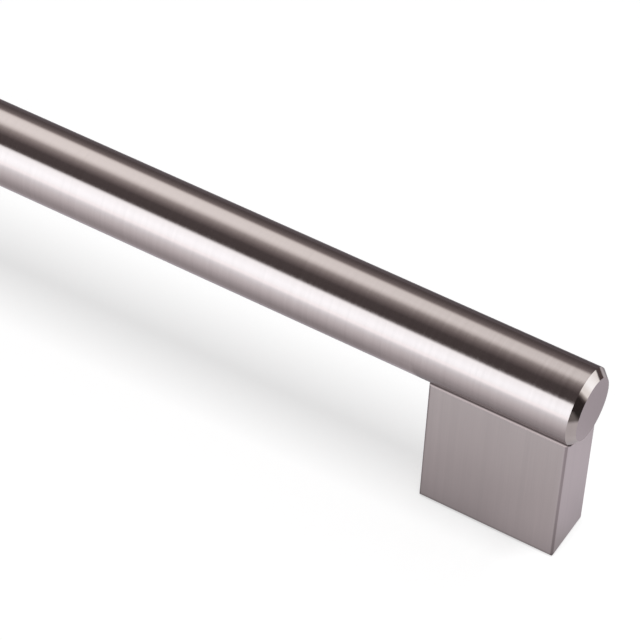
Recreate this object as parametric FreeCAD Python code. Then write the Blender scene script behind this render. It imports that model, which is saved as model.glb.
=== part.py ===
import FreeCAD, Part
import math
import os

# A bridge pull handle: a solid round bar carried by two rectangular block legs.
# The base of both legs stands on z = 0, the bar runs along X at y = 0, and the
# origin lies halfway between the legs' screw axes. All sizes are in millimetres.

# Bar
bar_diameter = 14.0
bar_end_chamfer = 1.3
bar_overhang = 1.2              # each end face stands this far outside its leg

# Legs
screw_centres = 160.0           # distance between the legs' screw axes
leg_length = 26.2               # along the bar
leg_thickness = 11.0            # across the bar
finger_clearance = 25.5         # door face to the bar's underside
saddle_depth = 1.9              # how far the bar sinks below the leg's two lands
seat_gap = 0.02                 # between the bar and its saddle, all over
upright_edge_radius = 0.7
base_edge_radius = 0.7

# Socket head cap screw that draws the bar into its saddle
screw_thread_diameter = 4.0
screw_length = 12.0             # under the head
screw_tip_chamfer = 0.5
screw_head_diameter = 7.0
screw_head_height = 4.0
screw_head_chamfer = 0.4
socket_width = 3.0              # across the flats
socket_depth = 2.0
thread_gap = 0.01               # on the radius, between a screw and its tapped hole

# Screw's way through the leg and into the bar
saddle_web = 6.0                # leg metal between the head's step and the saddle
clearance_hole_diameter = 4.5
tapped_depth = 7.5              # full thread in the bar, from its underside
drill_point_angle = 118.0

# Threaded bush that takes the door screw
bush_diameter = 7.2
bush_length = 10.0
bush_recess = 0.3               # keeps the bush just inside the leg's base
bush_chamfer = 0.4
door_thread_diameter = 4.0
press_gap = 0.01                # on the radius, between the bush and its bore
leg_bore_diameter = bush_diameter + 2 * press_gap

# Places that follow from the sizes
bar_radius = bar_diameter / 2
bar_length = screw_centres + leg_length + 2 * bar_overhang
bar_axis_z = finger_clearance + bar_radius
saddle_radius = bar_radius + seat_gap
saddle_floor_z = finger_clearance - seat_gap
leg_height = finger_clearance + saddle_depth
head_step_z = saddle_floor_z - saddle_web
screw_tip_z = head_step_z + screw_length
leg_places = {"left": -screw_centres / 2, "right": screw_centres / 2}

AXIS_X = FreeCAD.Vector(1, 0, 0)
AXIS_Y = FreeCAD.Vector(0, 1, 0)
AXIS_Z = FreeCAD.Vector(0, 0, 1)
ORIGIN = FreeCAD.Vector(0, 0, 0)


def turned(profile, centre_x=0.0, axis=AXIS_Z):
    """Solid of revolution from (radius, height) points that start and end on the axis."""
    across = AXIS_Y if axis == AXIS_X else AXIS_X
    points = [across * radius + axis * height for radius, height in profile]
    wire = Part.makePolygon(points + points[:1])
    solid = Part.Face(wire).revolve(ORIGIN, axis, 360)
    solid.translate(FreeCAD.Vector(centre_x, 0, 0))
    return solid


def rounded_base_slab(width, height, depth, radius, across, along):
    """Slab with its two lower edges rounded: width lies along across, depth along along."""
    half = width / 2
    start = along * (-depth / 2)

    def point(side, level):
        return start + across * side + AXIS_Z * level

    def corner(sign):
        bend = radius * (1 - math.sqrt(0.5))
        return Part.Arc(
            point(sign * half, radius),
            point(sign * (half - bend), bend),
            point(sign * (half - radius), 0),
        ).toShape()

    edges = [
        Part.makeLine(point(-half, height), point(-half, radius)),
        corner(-1),
        Part.makeLine(point(-half + radius, 0), point(half - radius, 0)),
        corner(1),
        Part.makeLine(point(half, radius), point(half, height)),
        Part.makeLine(point(half, height), point(-half, height)),
    ]
    face = Part.Face(Part.Wire(Part.__sortEdges__(edges)))
    return face.extrude(along * depth)


def make_bar():
    """Round bar with chamfered ends and a blind tapped hole above each leg."""
    half = bar_length / 2
    face_radius = bar_radius - bar_end_chamfer
    bar = turned(
        [
            (0, -half),
            (face_radius, -half),
            (bar_radius, -half + bar_end_chamfer),
            (bar_radius, half - bar_end_chamfer),
            (face_radius, half),
            (0, half),
        ],
        axis=AXIS_X,
    )
    bar.translate(FreeCAD.Vector(0, 0, bar_axis_z))
    hole_radius = screw_thread_diameter / 2
    full_depth_z = finger_clearance + tapped_depth
    point_height = hole_radius / math.tan(math.radians(drill_point_angle / 2))
    for centre_x in leg_places.values():
        bar = bar.cut(
            turned(
                [
                    (0, head_step_z),
                    (hole_radius, head_step_z),
                    (hole_radius, full_depth_z),
                    (0, full_depth_z + point_height),
                ],
                centre_x,
            )
        )
    return bar


def make_leg(centre_x):
    """Block leg: rounded base, saddle groove between two narrow lands, stepped bore."""
    block = Part.makeBox(
        leg_length,
        leg_thickness,
        leg_height,
        FreeCAD.Vector(-leg_length / 2, -leg_thickness / 2, 0),
    )
    upright_edges = [
        edge for edge in block.Edges if abs(edge.tangentAt(edge.FirstParameter).z) > 0.5
    ]
    leg = block.makeFillet(upright_edge_radius, upright_edges)
    leg = leg.common(
        rounded_base_slab(leg_thickness, leg_height, leg_length, base_edge_radius, AXIS_Y, AXIS_X)
    )
    leg = leg.common(
        rounded_base_slab(leg_length, leg_height, leg_thickness, base_edge_radius, AXIS_X, AXIS_Y)
    )
    groove = Part.makeCylinder(
        saddle_radius,
        leg_length,
        FreeCAD.Vector(-leg_length / 2, 0, bar_axis_z),
        AXIS_X,
    )
    leg = leg.cut(groove)
    leg.translate(FreeCAD.Vector(centre_x, 0, 0))
    bore_radius = leg_bore_diameter / 2
    clearance_radius = clearance_hole_diameter / 2
    bore = turned(
        [
            (0, 0),
            (bore_radius, 0),
            (bore_radius, head_step_z),
            (clearance_radius, head_step_z),
            (clearance_radius, leg_height),
            (0, leg_height),
        ],
        centre_x,
    )
    return leg.cut(bore)


def make_screw(centre_x):
    """Socket head cap screw: its head bears on the leg's step, its thread is in the bar."""
    head_radius = screw_head_diameter / 2
    thread_radius = screw_thread_diameter / 2 - thread_gap
    head_z = head_step_z - screw_head_height
    screw = turned(
        [
            (0, head_z),
            (head_radius - screw_head_chamfer, head_z),
            (head_radius, head_z + screw_head_chamfer),
            (head_radius, head_step_z),
            (thread_radius, head_step_z),
            (thread_radius, screw_tip_z - screw_tip_chamfer),
            (thread_radius - screw_tip_chamfer, screw_tip_z),
            (0, screw_tip_z),
        ],
        centre_x,
    )
    corner_radius = socket_width / math.sqrt(3)
    corners = [
        FreeCAD.Vector(
            centre_x + corner_radius * math.cos(math.radians(60 * turn)),
            corner_radius * math.sin(math.radians(60 * turn)),
            head_z,
        )
        for turn in range(6)
    ]
    socket = Part.Face(Part.makePolygon(corners + corners[:1])).extrude(AXIS_Z * socket_depth)
    return screw.cut(socket)


def make_bush(centre_x):
    """Turned bush, pressed in from the leg's base, with the thread for the door screw."""
    outer_radius = bush_diameter / 2
    thread_radius = door_thread_diameter / 2
    low_z = bush_recess
    high_z = bush_recess + bush_length
    body = turned(
        [
            (0, low_z),
            (outer_radius - bush_chamfer, low_z),
            (outer_radius, low_z + bush_chamfer),
            (outer_radius, high_z - bush_chamfer),
            (outer_radius - bush_chamfer, high_z),
            (0, high_z),
        ],
        centre_x,
    )
    thread_hole = turned(
        [
            (0, low_z),
            (thread_radius + bush_chamfer, low_z),
            (thread_radius, low_z + bush_chamfer),
            (thread_radius, high_z),
            (0, high_z),
        ],
        centre_x,
    )
    return body.cut(thread_hole)


def save(shape, node):
    shape.exportStep("parts/" + node + ".step")


os.makedirs("parts", exist_ok=True)
save(make_bar(), "bar")
for side, place_x in leg_places.items():
    save(make_leg(place_x), "leg_" + side)
    save(make_screw(place_x), "joining_screw_" + side)
    save(make_bush(place_x), "thread_bush_" + side)
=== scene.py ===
import math

import bmesh
import bpy
from mathutils import Matrix, Vector


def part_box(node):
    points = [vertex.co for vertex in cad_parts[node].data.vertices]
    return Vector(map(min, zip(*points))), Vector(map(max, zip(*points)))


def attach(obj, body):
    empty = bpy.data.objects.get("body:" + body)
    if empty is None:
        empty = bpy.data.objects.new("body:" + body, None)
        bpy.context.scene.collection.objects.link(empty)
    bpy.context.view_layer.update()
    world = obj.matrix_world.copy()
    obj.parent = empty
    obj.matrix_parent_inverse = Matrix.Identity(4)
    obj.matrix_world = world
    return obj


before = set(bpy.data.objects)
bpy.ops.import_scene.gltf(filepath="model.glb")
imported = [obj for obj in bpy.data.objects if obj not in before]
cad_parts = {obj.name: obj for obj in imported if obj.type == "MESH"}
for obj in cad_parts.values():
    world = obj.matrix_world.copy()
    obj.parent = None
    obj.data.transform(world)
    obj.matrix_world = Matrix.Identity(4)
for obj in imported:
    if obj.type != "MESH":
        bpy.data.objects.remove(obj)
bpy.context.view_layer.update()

# Everything is in metres, in the frame of the part: X along the bar, Z up from the door
# face, the origin halfway between the legs.
MM = 0.001
SIDES = ("left", "right")

bar_low, bar_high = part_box("bar")
bar_radius = (bar_high.z - bar_low.z) / 2
bar_axis_z = (bar_high.z + bar_low.z) / 2
bar_end_x = bar_high.x

leg_low, leg_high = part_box("leg_right")
leg_centre_x = (leg_high.x + leg_low.x) / 2
leg_half_length = (leg_high.x - leg_low.x) / 2
leg_half_thickness = (leg_high.y - leg_low.y) / 2
leg_top_z = leg_high.z


# Nodes

def add_node(tree, kind, inputs=None, **settings):
    """New node: inputs maps a socket's name or number to a value or to another socket."""
    node = tree.nodes.new(kind)
    for name, value in settings.items():
        setattr(node, name, value)
    for key, value in (inputs or {}).items():
        if isinstance(value, bpy.types.NodeSocket):
            tree.links.new(value, node.inputs[key])
        else:
            node.inputs[key].default_value = value
    return node


def maths(tree, operation, *values):
    inputs = dict(enumerate(values))
    return add_node(tree, "ShaderNodeMath", inputs, operation=operation).outputs[0]


def distance(tree, first, second):
    """Distance from the origin of the place with these two coordinates."""
    squares = [maths(tree, "POWER", value, 2.0) for value in (first, second)]
    return maths(tree, "SQRT", maths(tree, "ADD", *squares))


def smooth_step(tree, value, low, high, low_result=0.0, high_result=1.0):
    """Smooth change between two results. The names in _STEP hold the numbers from low on."""
    inputs = {"Value": value, 1: low, 2: high, 3: low_result, 4: high_result}
    node = add_node(tree, "ShaderNodeMapRange", inputs, interpolation_type="SMOOTHSTEP")
    return node.outputs[0]


def blend_colours(tree, factor, first, second):
    inputs = {0: factor, 6: first, 7: second}
    return add_node(tree, "ShaderNodeMix", inputs, data_type="RGBA").outputs[2]


def mix_shaders(tree, factor, first, second):
    return add_node(tree, "ShaderNodeMixShader", {0: factor, 1: first, 2: second}).outputs[0]


def colour_ramp(tree, value, stops):
    """Colour ramp through (position, colour) stops."""
    node = add_node(tree, "ShaderNodeValToRGB", {0: value})
    elements = node.color_ramp.elements
    while len(elements) < len(stops):
        elements.new(0.5)
    for element, (position, colour) in zip(elements, stops):
        element.position = position
        element.color = colour
    return node.outputs[0]


def grey(value):
    return (value, value, value, 1.0)


def grey_ramp(tree, value, stops):
    """Ramp through (position, level) stops."""
    return colour_ramp(tree, value, [(position, grey(level)) for position, level in stops])


def object_place(tree):
    """Place on the part, in metres, as three sockets."""
    place = add_node(tree, "ShaderNodeTexCoord").outputs["Object"]
    return add_node(tree, "ShaderNodeSeparateXYZ", {0: place}).outputs


def facing(tree):
    """Direction that the surface faces, without bump, as three sockets."""
    normal = add_node(tree, "ShaderNodeNewGeometry").outputs["True Normal"]
    return add_node(tree, "ShaderNodeSeparateXYZ", {0: normal}).outputs


def bent_facing(tree, x, y, z):
    """Direction for a shader's Normal, from its parts along the object's own axes."""
    bent = add_node(tree, "ShaderNodeCombineXYZ", {0: x, 1: y, 2: z}).outputs[0]
    return add_node(
        tree,
        "ShaderNodeVectorTransform",
        {0: bent},
        vector_type="NORMAL",
        convert_from="OBJECT",
        convert_to="WORLD",
    ).outputs[0]


def from_leg_middle(tree, x):
    """Distance along the bar from the middle of the nearer leg."""
    off_centre = maths(tree, "SUBTRACT", maths(tree, "ABSOLUTE", x), leg_centre_x)
    return maths(tree, "ABSOLUTE", off_centre)


def new_material(name):
    material = bpy.data.materials.new(name)
    material.use_nodes = True
    tree = material.node_tree
    tree.nodes.clear()
    return material, tree


def set_surface(tree, shader):
    add_node(tree, "ShaderNodeOutputMaterial", {"Surface": shader})


# Metals

LINE_DETAIL = 4.0
LINE_ROUGHNESS = 0.75
LINE_DEPTH = 0.02 * MM


def streaks(tree, scale):
    """Fine brushing lines: noise drawn out along the directions with a low scale."""
    place = add_node(tree, "ShaderNodeTexCoord").outputs["Object"]
    mapped = add_node(tree, "ShaderNodeMapping", {"Vector": place, "Scale": scale}).outputs[0]
    inputs = {"Vector": mapped, "Scale": 1.0, "Detail": LINE_DETAIL, "Roughness": LINE_ROUGHNESS}
    return add_node(tree, "ShaderNodeTexNoise", inputs).outputs["Fac"]


def bump(tree, height, strength):
    inputs = {"Height": height, "Strength": strength, "Distance": LINE_DEPTH}
    return add_node(tree, "ShaderNodeBump", inputs).outputs[0]


def metal_shader(tree, colour, roughness, more=None):
    """Metal: more maps further sockets' names to what goes into them."""
    inputs = {"Base Color": colour, "Metallic": 1.0, "Roughness": roughness, **(more or {})}
    return add_node(tree, "ShaderNodeBsdfPrincipled", inputs).outputs[0]


def brushed_shader(tree, colour, roughness, lines, axis, anisotropic, rotation, strength):
    """Metal that is brushed round an axis of the object, with its lines as bump."""
    tangent = add_node(tree, "ShaderNodeTangent", direction_type="RADIAL", axis=axis).outputs[0]
    more = {
        "Anisotropic": anisotropic,
        "Anisotropic Rotation": rotation,
        "Normal": bump(tree, lines, strength),
        "Tangent": tangent,
    }
    return metal_shader(tree, colour, roughness, more)


# Bar

# Lines are a scale along X, Y and Z, shades are the colours of the darkest and the
# lightest line, and a rough step goes by the lines too.
BAR_LINES = (1100.0, 24.0, 24.0)
BAR_SHADES = ((0.62, 0.537, 0.532, 1), (0.76, 0.666, 0.660, 1))
BAR_ROUGH_STEP = (0.3, 0.7, 0.145, 0.195)
BAR_BRUSHING = {"axis": "X", "anisotropic": 0.9, "rotation": 0.25, "strength": 0.06}

CHAMFER = 1.3 * MM
CHAMFER_SHADES = ((0.67, 0.610, 0.564, 1), (0.756, 0.691, 0.637, 1))
CHAMFER_ROUGHNESS = 0.07
# Its facing's angle to the bar's axis, at its inner and at its outer edge
CHAMFER_TILT = (math.radians(43.1), math.radians(46.9))

END_LINES = (900.0, 900.0, 900.0)
END_SHADES = ((0.585, 0.503, 0.497, 1), (0.615, 0.529, 0.523, 1))
END_ROUGHNESS = 0.22

# Share of X in the facing beyond which a place is on a chamfer, and on an end face
CHAMFER_FACING = 0.35
END_FACING = 0.9

# How clear the bar is of painted shade by the height above the legs' lands, in steps of 5 mm
SEAM_REACH = 5.0 * MM
SEAM = [
    (0.0, 0.48),
    (0.25, 0.50),
    (0.31, 0.54),
    (0.43, 0.70),
    (0.53, 0.82),
    (0.70, 0.86),
    (0.82, 0.89),
    (1.0, 1.0),
]
# Dark diffuse colour painted into the seam as shade
SEAM_PAINTED_SHADE = (0.02, 0.017, 0.017, 1)
# From a leg's middle along the bar, where the painted shade ends
SEAM_END_STEP = (leg_half_length, leg_half_length + 3.0 * MM)


def bar_material():
    """Bar: brushed round its girth, with bright turned chamfers and finely faced ends."""
    material, tree = new_material("bar_brushed")
    x, y, z = object_place(tree)
    lines = streaks(tree, BAR_LINES)
    shade = blend_colours(tree, lines, *BAR_SHADES)
    rough = smooth_step(tree, lines, *BAR_ROUGH_STEP)
    brushed = brushed_shader(tree, shade, rough, lines, **BAR_BRUSHING)

    # Painted shade: the bar darkens where it goes down into the legs' saddles.
    rise = maths(tree, "DIVIDE", maths(tree, "SUBTRACT", z, leg_top_z), SEAM_REACH)
    off_legs = smooth_step(tree, from_leg_middle(tree, x), *SEAM_END_STEP)
    clear = maths(tree, "MAXIMUM", grey_ramp(tree, rise, SEAM), off_legs)
    painted_seam_shade = add_node(tree, "ShaderNodeBsdfDiffuse", {"Color": SEAM_PAINTED_SHADE}).outputs[0]
    brushed = mix_shaders(tree, clear, painted_seam_shade, brushed)

    # The chamfers are shaded as slightly crowned.
    level = maths(tree, "SUBTRACT", z, bar_axis_z)
    off_axis = distance(tree, y, level)
    tilt = smooth_step(tree, off_axis, bar_radius - CHAMFER, bar_radius, *CHAMFER_TILT)
    outward = maths(tree, "DIVIDE", maths(tree, "SINE", tilt), off_axis)
    crowned = bent_facing(
        tree,
        maths(tree, "MULTIPLY", maths(tree, "SIGN", x), maths(tree, "COSINE", tilt)),
        maths(tree, "MULTIPLY", y, outward),
        maths(tree, "MULTIPLY", level, outward),
    )
    turned_shade = blend_colours(tree, lines, *CHAMFER_SHADES)
    turned = metal_shader(tree, turned_shade, CHAMFER_ROUGHNESS, {"Normal": crowned})

    faced_shade = blend_colours(tree, streaks(tree, END_LINES), *END_SHADES)
    faced = metal_shader(tree, faced_shade, END_ROUGHNESS)

    along = maths(tree, "ABSOLUTE", facing(tree)[0])
    on_chamfer = maths(tree, "GREATER_THAN", along, CHAMFER_FACING)
    on_end = maths(tree, "GREATER_THAN", along, END_FACING)
    skin = mix_shaders(tree, on_chamfer, brushed, turned)
    set_surface(tree, mix_shaders(tree, on_end, skin, faced))
    return material


# Legs

LEG_LINES = (1000.0, 1000.0, 20.0)
LEG_SHADES = ((0.752, 0.678, 0.670, 1), (0.883, 0.796, 0.786, 1))
LEG_ROUGH_STEP = (0.2, 0.8, 0.31, 0.36)
LEG_BRUSHING = {"axis": "Z", "anisotropic": 0.6, "rotation": 0.0, "strength": 0.04}

# Painted shade on the upright rounded edges, by the smaller share of X and Y in the facing
EDGE_PAINTED_SHADE = (0.48, 0.42, 0.417, 1)
EDGE_STEP = (0.25, 0.55)

# Painted shade: the foot by height, and the gap round the bar by distance from its axis and
# from the middle
CREVICE_PAINTED_SHADE = (0.16, 0.12, 0.12, 1)
FOOT_STEP = (0.2 * MM, 1.1 * MM, 0.6, 0.0)
GAP_STEP = (bar_radius + 0.12 * MM, bar_radius + 0.3 * MM, 1.0, 0.0)
GAP_SIDE_STEP = (3.2 * MM, 4.4 * MM)

# Lands, by distance from the middle, where the share of Z in the facing is high enough
LAND_FACING = 0.9
LAND_PAINTED_SHADE = (0.085, 0.062, 0.062, 1)
LAND_RIM = (0.45, 0.355, 0.352, 1)
LAND_STEP = (leg_half_thickness - 0.5 * MM, leg_half_thickness - 0.2 * MM)
LAND_ROUGHNESS = 0.3
# Facing that a land is shaded with, in parts
LAND_OUTWARD = 0.8
LAND_UPWARD = 0.6


def leg_material():
    """Leg: brushed from top to bottom, with edges, foot and lands darkened by painted shade."""
    material, tree = new_material("leg_brushed")
    _, y, z = object_place(tree)
    facing_x, facing_y, facing_z = facing(tree)
    lines = streaks(tree, LEG_LINES)
    shade = blend_colours(tree, lines, *LEG_SHADES)

    # Painted shade on the upright rounded edges, and at the foot
    share_x = maths(tree, "ABSOLUTE", facing_x)
    share_y = maths(tree, "ABSOLUTE", facing_y)
    on_edge = smooth_step(tree, maths(tree, "MINIMUM", share_x, share_y), *EDGE_STEP)
    shade = blend_colours(tree, on_edge, shade, EDGE_PAINTED_SHADE)
    shade = blend_colours(tree, smooth_step(tree, z, *FOOT_STEP), shade, CREVICE_PAINTED_SHADE)

    # Painted shadow in the gap where the bar enters the end faces
    off_axis = distance(tree, y, maths(tree, "SUBTRACT", z, bar_axis_z))
    gap = smooth_step(tree, off_axis, *GAP_STEP)
    off_middle = maths(tree, "ABSOLUTE", y)
    gap = maths(tree, "MULTIPLY", gap, smooth_step(tree, off_middle, *GAP_SIDE_STEP))
    shade = blend_colours(tree, gap, shade, CREVICE_PAINTED_SHADE)

    rough = smooth_step(tree, lines, *LEG_ROUGH_STEP)
    brushed = brushed_shader(tree, shade, rough, lines, **LEG_BRUSHING)

    # Lands beside the bar: painted shade, dark close to it and lighter along the outside. They
    # are shaded as rounded over outwards, so they mirror what is in front of them.
    on_rim = smooth_step(tree, off_middle, *LAND_STEP)
    land_shade = blend_colours(tree, on_rim, LAND_PAINTED_SHADE, LAND_RIM)
    outward = maths(tree, "MULTIPLY", maths(tree, "SIGN", y), LAND_OUTWARD)
    rounded = bent_facing(tree, 0.0, outward, LAND_UPWARD)
    land = metal_shader(tree, land_shade, LAND_ROUGHNESS, {"Normal": rounded})
    on_land = maths(tree, "GREATER_THAN", facing_z, LAND_FACING)
    set_surface(tree, mix_shaders(tree, on_land, brushed, land))
    return material


# Screws and bushes

GRAIN_STRENGTH = 0.1


def plain_metal(name, shades, roughness, scale):
    material, tree = new_material(name)
    grain = streaks(tree, scale)
    shade = blend_colours(tree, grain, *shades)
    more = {"Normal": bump(tree, grain, GRAIN_STRENGTH)}
    set_surface(tree, metal_shader(tree, shade, roughness, more))
    return material


def dress(node, material):
    """The CAD node keeps its mesh and gets this material."""
    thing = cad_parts[node]
    if not thing.material_slots:
        thing.data.materials.append(material)
    for slot in thing.material_slots:
        slot.material = material


bar_finish = bar_material()
leg_finish = leg_material()
screw_finish = plain_metal(
    "screw_steel",
    shades=((0.36, 0.36, 0.38, 1), (0.5, 0.5, 0.52, 1)),
    roughness=0.35,
    scale=(1500.0, 1500.0, 1500.0),
)
bush_finish = plain_metal(
    "bush_brass",
    shades=((0.62, 0.47, 0.24, 1), (0.8, 0.64, 0.36, 1)),
    roughness=0.3,
    scale=(600.0, 600.0, 5000.0),
)
dress("bar", bar_finish)
for side in SIDES:
    dress("leg_" + side, leg_finish)
    dress("joining_screw_" + side, screw_finish)
    dress("thread_bush_" + side, bush_finish)


# Door threads: the M4 ridge inside each bush, one helix

THREAD_PITCH = 0.7 * MM
THREAD_ROOT_RADIUS = 2.0 * MM
THREAD_CREST_RADIUS = 1.65 * MM
THREAD_SINK = 0.03 * MM         # the ridge's base lies this far inside the bush's wall
THREAD_LEAD_IN = 0.5 * MM
STEPS_PER_TURN = 36
# Share of the ridge's height, and place along the axis in pitches, round its section
THREAD_SECTION = [(0.0, -0.45), (1.0, -0.06), (1.0, 0.06), (0.0, 0.45)]
# Share of the height that is left at the ridge's two ends
THREAD_END_SHARE = 0.02


def make_thread(side):
    low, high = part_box("thread_bush_" + side)
    centre_x = (low.x + high.x) / 2
    start = low.z + THREAD_LEAD_IN + THREAD_PITCH / 2
    turns = (high.z - THREAD_PITCH / 2 - start) / THREAD_PITCH
    count = int(turns * STEPS_PER_TURN)
    base_radius = THREAD_ROOT_RADIUS + THREAD_SINK
    full_height = base_radius - THREAD_CREST_RADIUS
    work = bmesh.new()
    rings = []
    for step in range(count + 1):
        turn = math.tau * step / STEPS_PER_TURN
        z = start + THREAD_PITCH * step / STEPS_PER_TURN
        # The ridge grows out of the wall over its first half turn and dies away over its last.
        half_turns = min(step, count - step) * 2 / STEPS_PER_TURN
        height = full_height * min(1.0, THREAD_END_SHARE + half_turns)
        ring = []
        for share, offset in THREAD_SECTION:
            radius = base_radius - share * height
            around = (radius * math.cos(turn), radius * math.sin(turn), offset * THREAD_PITCH)
            ring.append(work.verts.new(Vector(around) + Vector((centre_x, 0, z))))
        rings.append(ring)
    corners = len(THREAD_SECTION)
    for first, second in zip(rings, rings[1:]):
        for corner in range(corners):
            after = (corner + 1) % corners
            work.faces.new((first[corner], first[after], second[after], second[corner]))
    work.faces.new(rings[0][::-1])
    work.faces.new(rings[-1])
    bmesh.ops.recalc_face_normals(work, faces=work.faces)
    mesh = bpy.data.meshes.new("door_thread_" + side)
    work.to_mesh(mesh)
    work.free()
    mesh.materials.append(bush_finish)
    thread = bpy.data.objects.new("door_thread_" + side, mesh)
    bpy.context.scene.collection.objects.link(thread)
    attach(thread, "root")


for side in SIDES:
    make_thread(side)


# Floor

# White to the camera, apart from the object's shadow
FLOOR_SIZE = 6.0
FLOOR_DROP = 0.1 * MM
FLOOR_TONE = 0.505
# Added to what the camera sees, by x: more of it to the right of the object, painted light
# that lightens the object's shadow there
GLOW_STEP = (0.084, 0.0945, 0.535, 0.725)

# In reflections it is a glow painted darker: painted light and shade, a sweep that brightens
# towards the front, by the distance in front of the bar as distance / (distance + spread)
MIRROR_STRENGTH = 1.5
SWEEP_SPREAD = 0.07
SWEEP = [
    (0.000, (0.217, 0.207, 0.211, 1)),
    (0.075, (0.212, 0.201, 0.208, 1)),
    (0.192, (0.217, 0.208, 0.213, 1)),
    (0.286, (0.293, 0.286, 0.293, 1)),
    (0.381, (0.389, 0.385, 0.393, 1)),
    (0.489, (0.480, 0.487, 0.494, 1)),
    (0.573, (0.530, 0.546, 0.562, 1)),
    (0.686, (0.634, 0.670, 0.689, 1)),
    (0.815, (0.868, 0.903, 0.920, 1)),
    (1.0, (0.880, 0.915, 0.933, 1)),
]
# Behind the bar, by y, and the change from the sweep to it
BACK_NEAR = (0.29, 0.276, 0.296, 1)
BACK_FAR = (0.070, 0.062, 0.065, 1)
BACK_STEP = (0.0, 0.11)
FRONT_STEP = (-0.004, 0.004, 1.0, 0.0)
# Painted light and shade: brighter to the left and darker to the right by x, mostly under
# the bar and behind it by y
TILT_STEP = (-0.01, 0.055, 0.15, -0.06)
TILT_WEIGHT_STEP = (-0.035, -0.005, 0.3, 1.0)
# Painted light beside the right leg's outer end: from and to by x, then how much by y
BESIDE_START_STEP = (0.076, 0.088)
BESIDE_END_STEP = (0.09, 0.098, 1.0, 0.0)
BESIDE_STEP = (-0.025, -0.01, 0.0, 0.13)

# Painted pool of light round the bar's right end, starting by x. Its colour goes by the distance
# from the end, where y counts for less behind the bar, and further out by the direction too: 1
# is straight in front, 0 to the right and -1 behind.
POOL_STEP = (0.088, 0.108)
POOL_SQUEEZE_STEP = (-0.02, 0.02, 1.0, 0.55)
POOL_START = (0.313, 0.298, 0.320, 1)
POOL_NEAR = (0.353, 0.336, 0.361, 1)
POOL_NEAR_STEP = (0.015, 0.028)
POOL_OUTER_STEP = (0.065, 0.105)
POOL_BACK = (0.062, 0.048, 0.049, 1)
POOL_DARK = (0.020, 0.018, 0.018, 1)
POOL_DARK_STEP = (-0.3, 0.1)
POOL_FRONT = (0.118, 0.108, 0.112, 1)
POOL_FRONT_STEP = (0.36, 0.45)

# Painted shade in reflections by distance from a leg's foot, in steps of 30 mm
CONTACT_REACH = 0.03
CONTACT = [
    (0.0, 0.74),
    (0.033, 0.755),
    (0.063, 0.80),
    (0.10, 0.845),
    (0.127, 0.875),
    (0.167, 0.91),
    (0.207, 0.935),
    (0.267, 0.96),
    (0.367, 0.99),
    (0.467, 1.0),
    (0.55, 0.985),
    (0.633, 0.91),
    (0.767, 0.85),
    (1.0, 0.82),
]
CONTACT_SCALE = 1.22


def sweep_colour(tree, y):
    """Painted colour in reflections to the left of the pool."""
    ahead = maths(tree, "MAXIMUM", maths(tree, "MULTIPLY", y, -1.0), 0.0)
    near = maths(tree, "DIVIDE", ahead, maths(tree, "ADD", ahead, SWEEP_SPREAD))
    sweep = colour_ramp(tree, near, SWEEP)
    back = blend_colours(tree, smooth_step(tree, y, *BACK_STEP), BACK_NEAR, BACK_FAR)
    return blend_colours(tree, smooth_step(tree, y, *FRONT_STEP), back, sweep)


def pool_colour(tree, x, y):
    """Painted colour in reflections round the bar's right end."""
    outward = maths(tree, "SUBTRACT", x, bar_end_x)
    squeezed = maths(tree, "MULTIPLY", y, smooth_step(tree, y, *POOL_SQUEEZE_STEP))
    away = distance(tree, outward, squeezed)
    near = blend_colours(tree, smooth_step(tree, away, *POOL_NEAR_STEP), POOL_START, POOL_NEAR)
    forward = maths(tree, "DIVIDE", maths(tree, "MULTIPLY", squeezed, -1.0), away)
    outer = blend_colours(tree, smooth_step(tree, forward, *POOL_DARK_STEP), POOL_BACK, POOL_DARK)
    outer = blend_colours(tree, smooth_step(tree, forward, *POOL_FRONT_STEP), outer, POOL_FRONT)
    return blend_colours(tree, smooth_step(tree, away, *POOL_OUTER_STEP), near, outer)


def mirror_strength(tree, x, y):
    """Strength in reflections: painted light and shade along the bar, and painted shade at the
    legs' feet.
    """
    tilt = smooth_step(tree, x, *TILT_STEP)
    weight = smooth_step(tree, y, *TILT_WEIGHT_STEP)
    change = maths(tree, "MULTIPLY_ADD", tilt, weight, 1.0)
    start = smooth_step(tree, x, *BESIDE_START_STEP)
    end = smooth_step(tree, x, *BESIDE_END_STEP)
    beside = maths(tree, "MULTIPLY", start, end)
    beside = maths(tree, "MULTIPLY", beside, smooth_step(tree, y, *BESIDE_STEP))
    change = maths(tree, "ADD", change, beside)

    beyond_x = maths(tree, "SUBTRACT", from_leg_middle(tree, x), leg_half_length)
    beyond_y = maths(tree, "SUBTRACT", maths(tree, "ABSOLUTE", y), leg_half_thickness)
    gap = maths(tree, "MAXIMUM", beyond_x, beyond_y)
    contact = grey_ramp(tree, maths(tree, "DIVIDE", gap, CONTACT_REACH), CONTACT)
    strength = maths(tree, "MULTIPLY", contact, CONTACT_SCALE * MIRROR_STRENGTH)
    return maths(tree, "MULTIPLY", strength, change)


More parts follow.
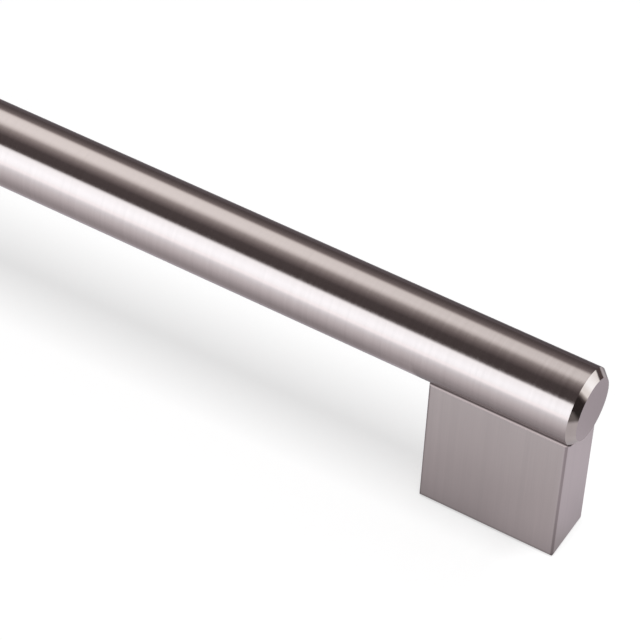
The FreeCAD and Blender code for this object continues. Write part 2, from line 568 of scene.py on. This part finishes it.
def make_floor():
    mesh = bpy.data.meshes.new("floor")
    half = FLOOR_SIZE / 2
    corners = [(-half, -half, 0), (half, -half, 0), (half, half, 0), (-half, half, 0)]
    mesh.from_pydata(corners, [], [(0, 1, 2, 3)])
    floor = bpy.data.objects.new("floor", mesh)
    floor.location.z = -FLOOR_DROP
    bpy.context.scene.collection.objects.link(floor)
    material, tree = new_material("floor_pale")
    place = add_node(tree, "ShaderNodeNewGeometry").outputs["Position"]
    x, y, _ = add_node(tree, "ShaderNodeSeparateXYZ", {0: place}).outputs
    paths = add_node(tree, "ShaderNodeLightPath").outputs

    # Painted reflection: to glossy rays the floor glows with colours painted by place
    in_pool = smooth_step(tree, x, *POOL_STEP)
    mirrored = blend_colours(tree, in_pool, sweep_colour(tree, y), pool_colour(tree, x, y))
    inputs = {"Color": mirrored, "Strength": mirror_strength(tree, x, y)}
    painted_in_metal = add_node(tree, "ShaderNodeEmission", inputs).outputs[0]

    lit = add_node(tree, "ShaderNodeBsdfDiffuse", {"Color": grey(FLOOR_TONE)}).outputs[0]
    glow = maths(tree, "MULTIPLY", paths["Is Camera Ray"], smooth_step(tree, x, *GLOW_STEP))
    glowing = add_node(tree, "ShaderNodeEmission", {"Strength": glow}).outputs[0]
    seen = add_node(tree, "ShaderNodeAddShader", {0: lit, 1: glowing}).outputs[0]
    set_surface(tree, mix_shaders(tree, paths["Is Glossy Ray"], seen, painted_in_metal))
    material.cycles.emission_sampling = "NONE"
    mesh.materials.append(material)


make_floor()


# Light on the floor

# Half comes from all round, half from the lamp overhead, whose size gives the soft shadow
# under the bar.
FILL_SHARE = 0.5
LAMP_SHARE = 0.5
LAMP_SIZE = 0.41
LAMP_PLACE = Vector((0.03, -0.088, 1.0))


def make_lamp():
    lamp = bpy.data.lights.new("overhead", "AREA")
    lamp.shape = "SQUARE"
    lamp.size = LAMP_SIZE
    # The floor straight below gets as much light as from a sky with a strength of LAMP_SHARE.
    lamp.energy = LAMP_SHARE * math.pi * math.pi * LAMP_PLACE.z ** 2
    thing = bpy.data.objects.new("overhead", lamp)
    thing.location = LAMP_PLACE
    thing.visible_glossy = False
    bpy.context.scene.collection.objects.link(thing)


make_lamp()


# Studio

# What the metal mirrors: level of the panel or the gap, by the angle in degrees from
# straight up towards the front
BANDS = [
    (-180, 0.10),
    (-90, 0.055),
    (-80, 0.068),
    (-68, 0.105),
    (-60, 0.155),
    (-57, 0.23),
    (-50, 0.57),
    (-45, 0.615),
    (-24, 0.635),
    (-16.5, 0.58),
    (-5.5, 0.235),
    (8, 0.12),
    (20, 0.052),
    (42, 0.049),
    (48.5, 0.09),
    (51.2, 0.82),
    (55, 0.885),
    (77, 0.965),
    (92, 0.91),
    (180, 0.3),
]
# The same beyond the bar's right end, by the angle from the front round to the right
SIDE_PANEL = [
    (84, 0.02),
    (88, 0.055),
    (93, 0.29),
    (97.5, 0.69),
    (106, 0.715),
    (113, 0.82),
    (119, 0.89),
    (127, 0.87),
    (138, 0.79),
    (144, 0.72),
    (180, 0.6),
]
# Where the side panel takes over by x, and where it starts by z
SIDE_STEP = (0.25, 0.5)
HORIZON_STEP = (-0.03, 0.06)
SIDE_TINT = (0.963, 0.926, 0.972)

# The tint goes from dark to middle by a level of 1 / DARK_RISE, and on to light above
# MIDDLE_LEVEL. The panels' strength keeps the ramps' colours below 1.
PANEL_STRENGTH = 1.9
LEVEL_SCALE = MIRROR_STRENGTH / PANEL_STRENGTH
DARK_TINT = (1.0, 0.83, 0.83)
MIDDLE_TINT = (1.0, 0.985, 0.935)
LIGHT_TINT = (1.0, 1.105, 1.145)
DARK_RISE = 3
MIDDLE_LEVEL = 0.5

# The panels' edges lean a little along the bar: degrees for each unit of x from the centre,
# by the angle from straight up, as the sum of two steps
LEAN_REAR_STEP = (math.radians(-35), math.radians(-15), -25.0, 28.0)
LEAN_FRONT_STEP = (math.radians(-5), math.radians(38), 0.0, -53.0)
LEAN_CENTRE = -0.354
LEAN_REACH = 0.11

# The panel overhead dims towards the right by x, and the front one a quarter as much
DIM_STEP = (-0.40, -0.22, 0.125, -0.24)
DIM_REAR_STEP = (math.radians(-64), math.radians(-52))
DIM_FRONT_STEP = (math.radians(30), math.radians(50), 1.0, 0.25)


def panel_colour(level, extra=(1.0, 1.0, 1.0)):
    if level < MIDDLE_LEVEL:
        mix = min(level * DARK_RISE, 1.0)
        low, high = DARK_TINT, MIDDLE_TINT
    else:
        mix = (level - MIDDLE_LEVEL) / (1 - MIDDLE_LEVEL)
        low, high = MIDDLE_TINT, LIGHT_TINT
    tint = [first * (1 - mix) + second * mix for first, second in zip(low, high)]
    return (*(level * LEVEL_SCALE * share * more for share, more in zip(tint, extra)), 1.0)


def background(tree, colour, strength=1.0):
    inputs = {"Color": colour, "Strength": strength}
    return add_node(tree, "ShaderNodeBackground", inputs).outputs[0]


def band_colour(tree, x, turn):
    """Colour of the panels round the bar, by the angle from straight up."""
    rear = smooth_step(tree, turn, *LEAN_REAR_STEP)
    lean = maths(tree, "ADD", rear, smooth_step(tree, turn, *LEAN_FRONT_STEP))
    aside = maths(tree, "SUBTRACT", x, LEAN_CENTRE)
    aside = maths(tree, "MINIMUM", maths(tree, "MAXIMUM", aside, -LEAN_REACH), LEAN_REACH)
    position = maths(tree, "MULTIPLY_ADD", turn, 1 / math.tau, 0.5)
    leaned = maths(tree, "MULTIPLY", lean, aside)
    position = maths(tree, "MULTIPLY_ADD", leaned, 1 / 360, position)
    stops = [(angle / 360 + 0.5, panel_colour(level)) for angle, level in BANDS]
    bands = colour_ramp(tree, position, stops)

    dimming = smooth_step(tree, x, *DIM_STEP)
    share = smooth_step(tree, turn, *DIM_REAR_STEP)
    share = maths(tree, "MULTIPLY", share, smooth_step(tree, turn, *DIM_FRONT_STEP))
    scale = maths(tree, "ADD", maths(tree, "MULTIPLY", dimming, share), 1.0)
    inputs = {0: bands, "Scale": scale}
    return add_node(tree, "ShaderNodeVectorMath", inputs, operation="SCALE").outputs[0]


def side_colour(tree, x, front, z):
    """Colour of what lies beyond the bar's right end."""
    azimuth = maths(tree, "ARCTAN2", x, front)
    stops = [(angle / 180, panel_colour(level, SIDE_TINT)) for angle, level in SIDE_PANEL]
    panel = colour_ramp(tree, maths(tree, "DIVIDE", azimuth, math.pi), stops)
    darkest = stops[0][1]
    return blend_colours(tree, smooth_step(tree, z, *HORIZON_STEP), darkest, panel)


def make_world():
    world = bpy.data.worlds.new("studio")
    world.use_nodes = True
    tree = world.node_tree
    tree.nodes.clear()
    direction = add_node(tree, "ShaderNodeTexCoord").outputs["Generated"]
    x, y, z = add_node(tree, "ShaderNodeSeparateXYZ", {0: direction}).outputs
    paths = add_node(tree, "ShaderNodeLightPath").outputs
    front = maths(tree, "MULTIPLY", y, -1.0)
    bands = band_colour(tree, x, maths(tree, "ARCTAN2", front, z))
    side = side_colour(tree, x, front, z)
    mirrored = blend_colours(tree, smooth_step(tree, x, *SIDE_STEP), bands, side)

    fill = background(tree, grey(FILL_SHARE))
    studio = background(tree, mirrored, PANEL_STRENGTH)
    seen = mix_shaders(tree, paths["Is Glossy Ray"], fill, studio)
    seen = mix_shaders(tree, paths["Is Camera Ray"], seen, background(tree, grey(1.0)))
    add_node(tree, "ShaderNodeOutputWorld", {"Surface": seen})
    bpy.context.scene.world = world


make_world()


# Camera

PHOTO_WIDTH = 640
SENSOR_WIDTH = 36.0
FOCAL_PIXELS = 3139.1
CLIP_START = 0.01
CAMERA_PLACE = Vector((0.22483, -0.33143, 0.40330))
VIEW_DIRECTION = Vector((-0.34032, 0.61936, -0.70752))
CAMERA_ROLL = math.radians(3.230)


def make_camera():
    data = bpy.data.cameras.new("camera")
    data.sensor_width = SENSOR_WIDTH
    data.lens = FOCAL_PIXELS / PHOTO_WIDTH * SENSOR_WIDTH
    data.clip_start = CLIP_START
    camera = bpy.data.objects.new("camera", data)
    aim = VIEW_DIRECTION.to_track_quat("-Z", "Y").to_matrix().to_4x4()
    roll = Matrix.Rotation(CAMERA_ROLL, 4, "Z")
    camera.matrix_world = Matrix.Translation(CAMERA_PLACE) @ aim @ roll
    bpy.context.scene.collection.objects.link(camera)
    bpy.context.scene.camera = camera


make_camera()

bpy.context.scene.view_settings.view_transform = "Standard"
